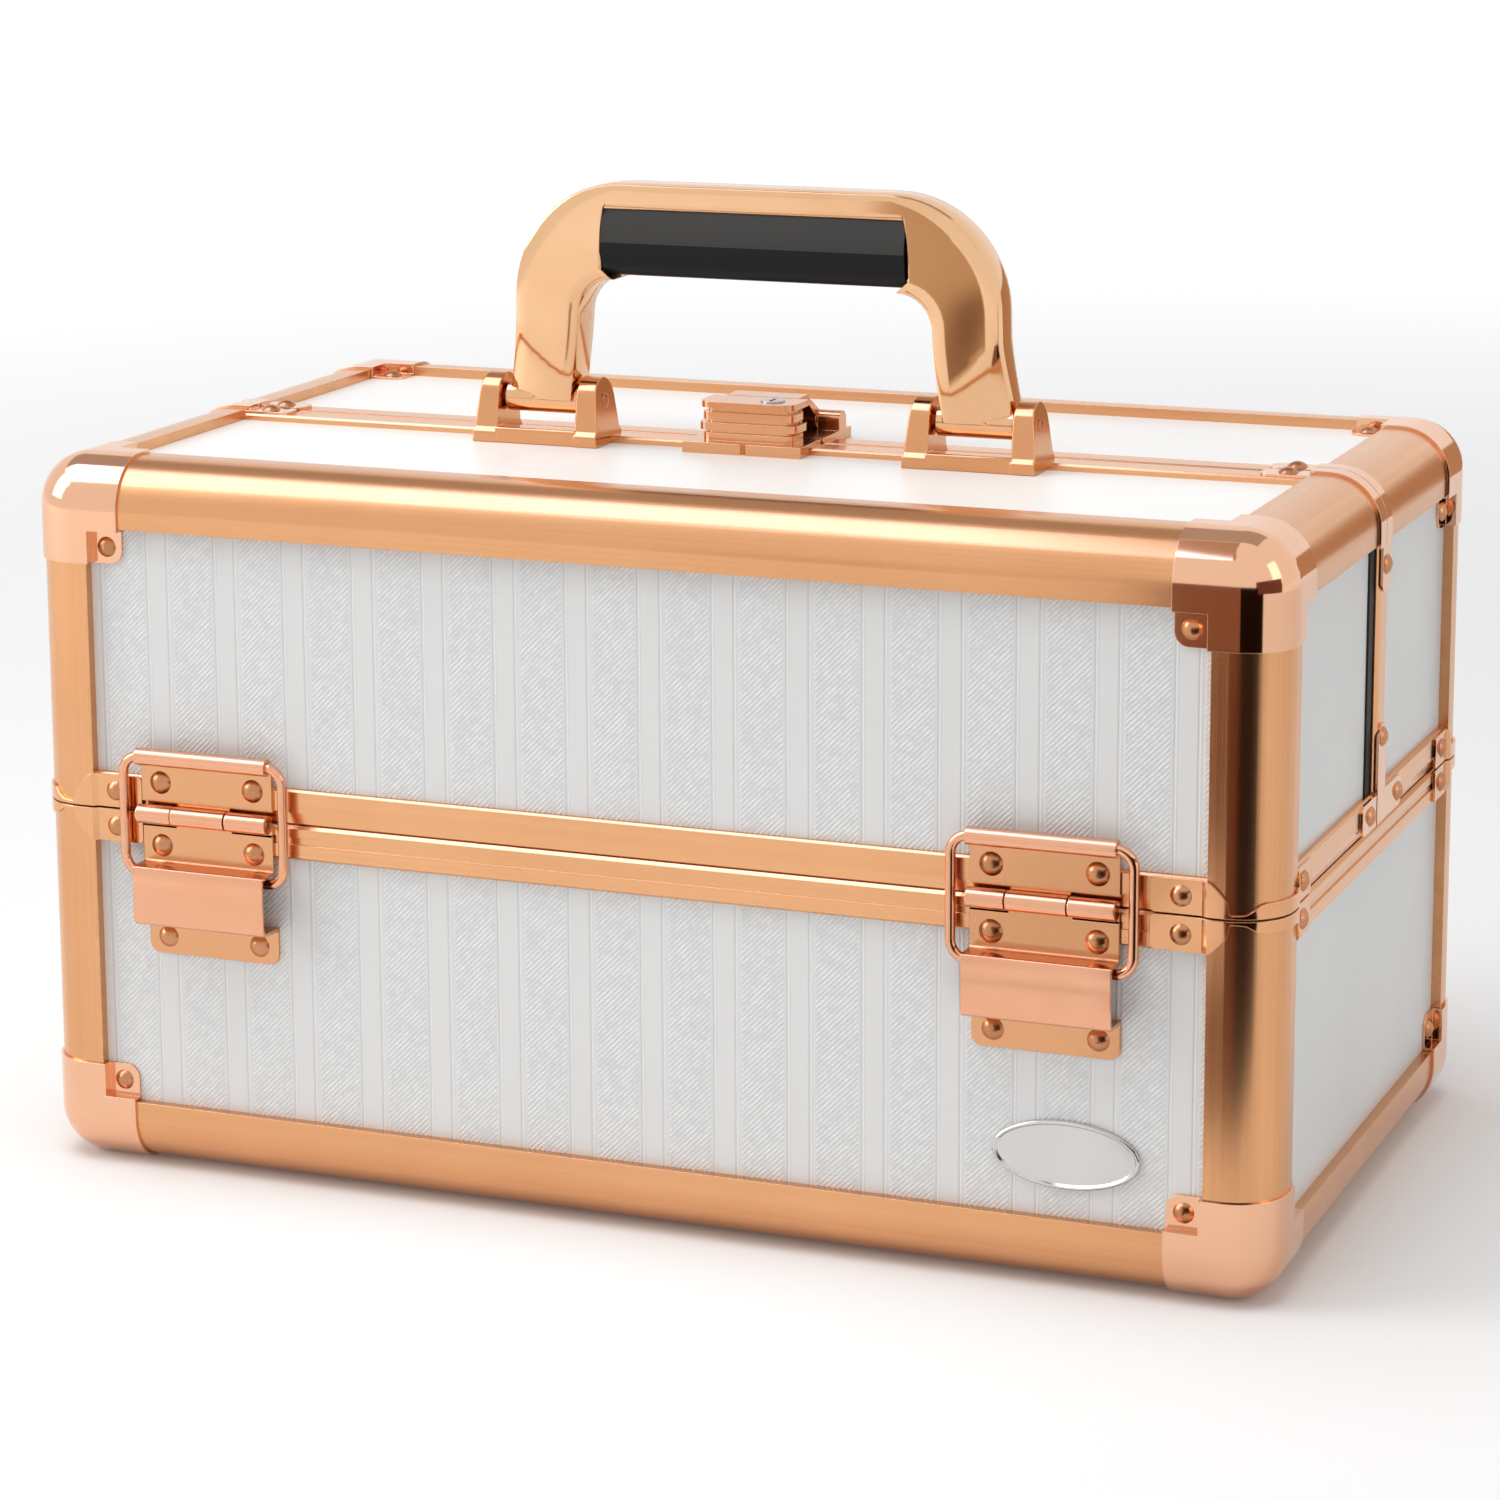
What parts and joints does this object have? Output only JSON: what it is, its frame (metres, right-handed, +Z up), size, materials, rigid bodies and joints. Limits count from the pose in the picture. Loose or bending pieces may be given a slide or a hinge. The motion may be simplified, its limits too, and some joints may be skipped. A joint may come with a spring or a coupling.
{
  "type": "makeup case",
  "caption": "Hard makeup case with copper edge rails, capped corners, a centre lock and carrying handle; two half lids swing out on ring-stay hinges and lift trays on parallel arms.",
  "frame": {"origin": "centre of the overall box, at the plane that the bottom corner caps stand on", "axes": "+X to the right along the case's width, +Y to the rear, +Z up; the handle leans to -Y when its angle is positive"},
  "size_m": [0.366, 0.2226, 0.2781],
  "materials": {
    "panel": "pale grey laminate with a faint emboss",
    "front_panel": "pale grey laminate embossed with hatched and ribbed stripes",
    "rail": "copper anodised, satin",
    "belt": "copper anodised, bright",
    "cap": "copper plated, polished",
    "hinge": "pink copper plated pressed steel",
    "wire": "copper plated wire",
    "rivet": "copper plated, polished",
    "handle": "copper plated, polished",
    "grip": "black, smooth",
    "steel": "bright zinc",
    "badge": "plated, blank",
    "seal": "black",
    "lining": "black, textured",
    "tray": "black"
  },
  "bodies": {
    "lower_case": {"bottom_panel": "panel", "lower_front_panel": "front_panel", "lower_rear_panel": "panel", "lower_end_panels": "panel", "bottom_rails": "rail", "lower_corner_posts": "rail", "lower_belt_rails": "belt", "bottom_corner_caps": "cap", "lower_belt_brackets": "cap", "lower_lining": "lining", "lower_hinge_leaves": "hinge", "hinge_pins": "steel", "lower_rivets": "rivet", "oval_plate": "badge", "linkage_plates": "steel", "linkage_pivots": "steel"},
    "front_lid": {"front_upper_panel": "front_panel", "front_top_panel": "panel", "front_lid_ends": "panel", "front_lid_rails": "rail", "front_lid_posts": "rail", "front_lid_belt_rails": "belt", "front_seam_rail": "belt", "front_seam_seals": "seal", "front_corner_caps": "cap", "front_lid_brackets": "cap", "front_lid_lining": "lining", "front_hinge_leaves": "hinge", "front_lid_rivets": "rivet", "handle_brackets": "handle", "handle_pins": "steel", "lock_body": "hinge", "front_tray_pins": "steel"},
    "rear_lid": {"rear_upper_panel": "panel", "rear_top_panel": "panel", "rear_lid_ends": "panel", "rear_lid_rails": "rail", "rear_lid_posts": "rail", "rear_lid_belt_rails": "belt", "rear_seam_rails": "belt", "rear_corner_caps": "cap", "rear_lid_brackets": "cap", "rear_lid_lining": "lining", "rear_hinge_leaves": "hinge", "rear_lid_rivets": "rivet", "hasp_base": "hinge", "rear_tray_pins": "steel"},
    "handle": {"handle_frame": "handle", "handle_grip": "grip"},
    "hasp": {"hasp_flap": "hinge"},
    "key": {"key_cylinder": "steel"},
    "front_rings": {"front_stay_rings": "wire"},
    "rear_rings": {"rear_stay_rings": "wire"},
    "front_arms": {"front_linkage_arms": "steel"},
    "rear_arms": {"rear_linkage_arms": "steel"},
    "front_low_tray": {"front_lower_tray": "tray"},
    "front_high_tray": {"front_upper_tray": "tray"},
    "rear_low_tray": {"rear_lower_tray": "tray"},
    "rear_high_tray": {"rear_upper_tray": "tray"}
  },
  "joints": [
    {"name": "front_lid_hinge", "type": "hinge", "parent": "lower_case", "child": "front_lid", "pos_m": [0, -0.1064, 0.106], "axis": [1, 0, 0], "range_deg": [0, 95]},
    {"name": "front_ring_swing", "type": "hinge", "parent": "front_lid", "child": "front_rings", "pos_m": [0, -0.1064, 0.1225], "axis": [1, 0, 0], "range_deg": [-61, 0.5]},
    {"name": "front_arm_pivot", "type": "hinge", "parent": "lower_case", "child": "front_arms", "pos_m": [0, -0.06536, 0.112], "axis": [1, 0, 0], "range_deg": [-0.5, 95.5]},
    {"name": "front_low_tray_pivot", "type": "hinge", "parent": "front_lid", "child": "front_low_tray", "pos_m": [0, -0.07937, 0.12493], "axis": [1, 0, 0], "range_deg": [-95.5, 0.5]},
    {"name": "front_high_tray_pivot", "type": "hinge", "parent": "front_lid", "child": "front_high_tray", "pos_m": [0, -0.05234, 0.14386], "axis": [1, 0, 0], "range_deg": [-95.5, 0.5]},
    {"name": "rear_lid_hinge", "type": "hinge", "parent": "lower_case", "child": "rear_lid", "pos_m": [0, 0.1064, 0.106], "axis": [-1, 0, 0], "range_deg": [0, 95]},
    {"name": "rear_ring_swing", "type": "hinge", "parent": "rear_lid", "child": "rear_rings", "pos_m": [0, 0.1064, 0.1225], "axis": [-1, 0, 0], "range_deg": [-61, 0.5]},
    {"name": "rear_arm_pivot", "type": "hinge", "parent": "lower_case", "child": "rear_arms", "pos_m": [0, 0.06536, 0.112], "axis": [-1, 0, 0], "range_deg": [-0.5, 95.5]},
    {"name": "rear_low_tray_pivot", "type": "hinge", "parent": "rear_lid", "child": "rear_low_tray", "pos_m": [0, 0.07937, 0.12493], "axis": [-1, 0, 0], "range_deg": [-95.5, 0.5]},
    {"name": "rear_high_tray_pivot", "type": "hinge", "parent": "rear_lid", "child": "rear_high_tray", "pos_m": [0, 0.05234, 0.14386], "axis": [-1, 0, 0], "range_deg": [-95.5, 0.5]},
    {"name": "handle_pivot", "type": "hinge", "parent": "front_lid", "child": "handle", "pos_m": [0.003, -0.011, 0.2147], "axis": [1, 0, 0], "range_deg": [-55, 88]},
    {"name": "hasp_pivot", "type": "hinge", "parent": "rear_lid", "child": "hasp", "pos_m": [0, 0.017, 0.2082], "axis": [-1, 0, 0], "range_deg": [0, 100]},
    {"name": "key_turn", "type": "hinge", "parent": "front_lid", "child": "key", "pos_m": [0.006, -0.0075, 0.2122], "axis": [0, 0, -1], "range_deg": [0, 90]}
  ],
  "couplings": [
    {"joint": "front_low_tray_pivot", "follows": "front_lid_hinge", "ratio": -1},
    {"joint": "front_high_tray_pivot", "follows": "front_lid_hinge", "ratio": -1},
    {"joint": "front_ring_swing", "follows": "front_lid_hinge", "ratio": -0.64},
    {"joint": "front_arm_pivot", "follows": "front_lid_hinge", "ratio": 1},
    {"joint": "rear_low_tray_pivot", "follows": "rear_lid_hinge", "ratio": -1},
    {"joint": "rear_high_tray_pivot", "follows": "rear_lid_hinge", "ratio": -1},
    {"joint": "rear_ring_swing", "follows": "rear_lid_hinge", "ratio": -0.64},
    {"joint": "rear_arm_pivot", "follows": "rear_lid_hinge", "ratio": 1}
  ]
}
